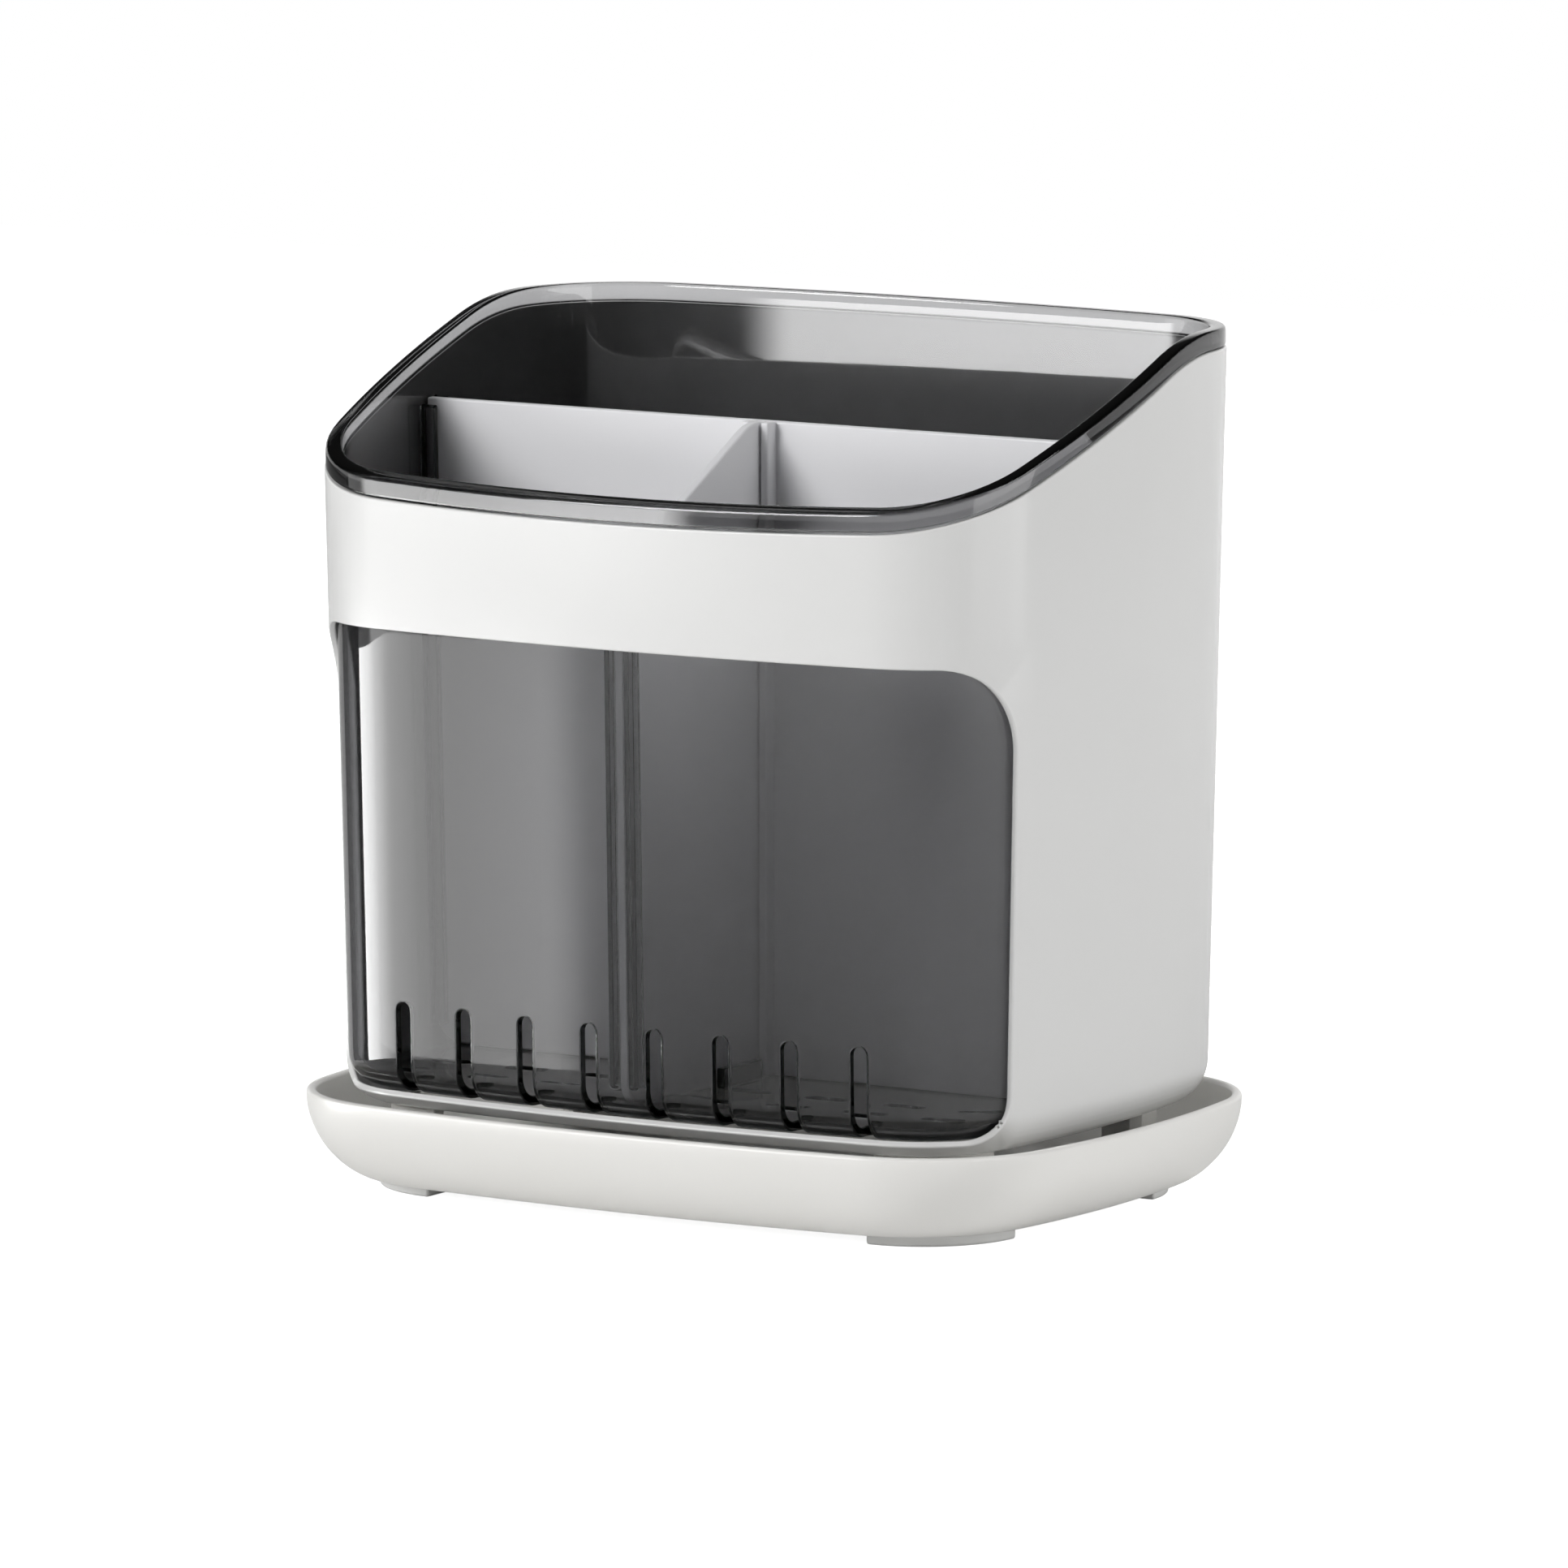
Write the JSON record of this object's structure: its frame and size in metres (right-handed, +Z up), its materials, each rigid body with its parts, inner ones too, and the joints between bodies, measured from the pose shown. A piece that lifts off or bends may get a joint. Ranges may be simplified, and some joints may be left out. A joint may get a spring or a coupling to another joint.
{
  "type": "chopstick holder",
  "caption": "White utensil holder with a smoked lift-out liner behind a wrap-round window, dividers for chopsticks and cutlery, and a drip tray on feet.",
  "frame": {"origin": "on the ground under the middle of the tray", "axes": "+Z up, +X to the holder's right as seen from the front, front at -Y"},
  "size_m": [0.172, 0.127, 0.17],
  "materials": {
    "gloss_white": "moulded ABS, high gloss",
    "tray_white": "moulded ABS, satin gloss",
    "foot_white": "soft moulded plastic, matt",
    "smoke": "clear smoked moulded plastic, polished",
    "divider_white": "moulded polypropylene, satin"
  },
  "bodies": {
    "tray": {"drip_tray": "tray_white", "foot_front_left": "foot_white", "foot_front_right": "foot_white", "foot_rear_left": "foot_white", "foot_rear_right": "foot_white"},
    "sleeve": {"outer_sleeve": "gloss_white"},
    "liner": {"inner_liner": "smoke"},
    "cross_panel": {"cross_divider": "divider_white"},
    "short_panel": {"short_divider": "divider_white"}
  },
  "joints": [
    {"name": "sleeve_lift", "type": "slide", "parent": "tray", "child": "sleeve", "axis": [0, 0, 1], "range_m": [0, 0.04]},
    {"name": "liner_lift", "type": "slide", "parent": "sleeve", "child": "liner", "axis": [0, 0, 1], "range_m": [0, 0.155]},
    {"name": "cross_lift", "type": "slide", "parent": "liner", "child": "cross_panel", "axis": [0, 0, 1], "range_m": [0, 0.14]},
    {"name": "short_lift", "type": "slide", "parent": "liner", "child": "short_panel", "axis": [0, 0, 1], "range_m": [0, 0.13]}
  ]
}
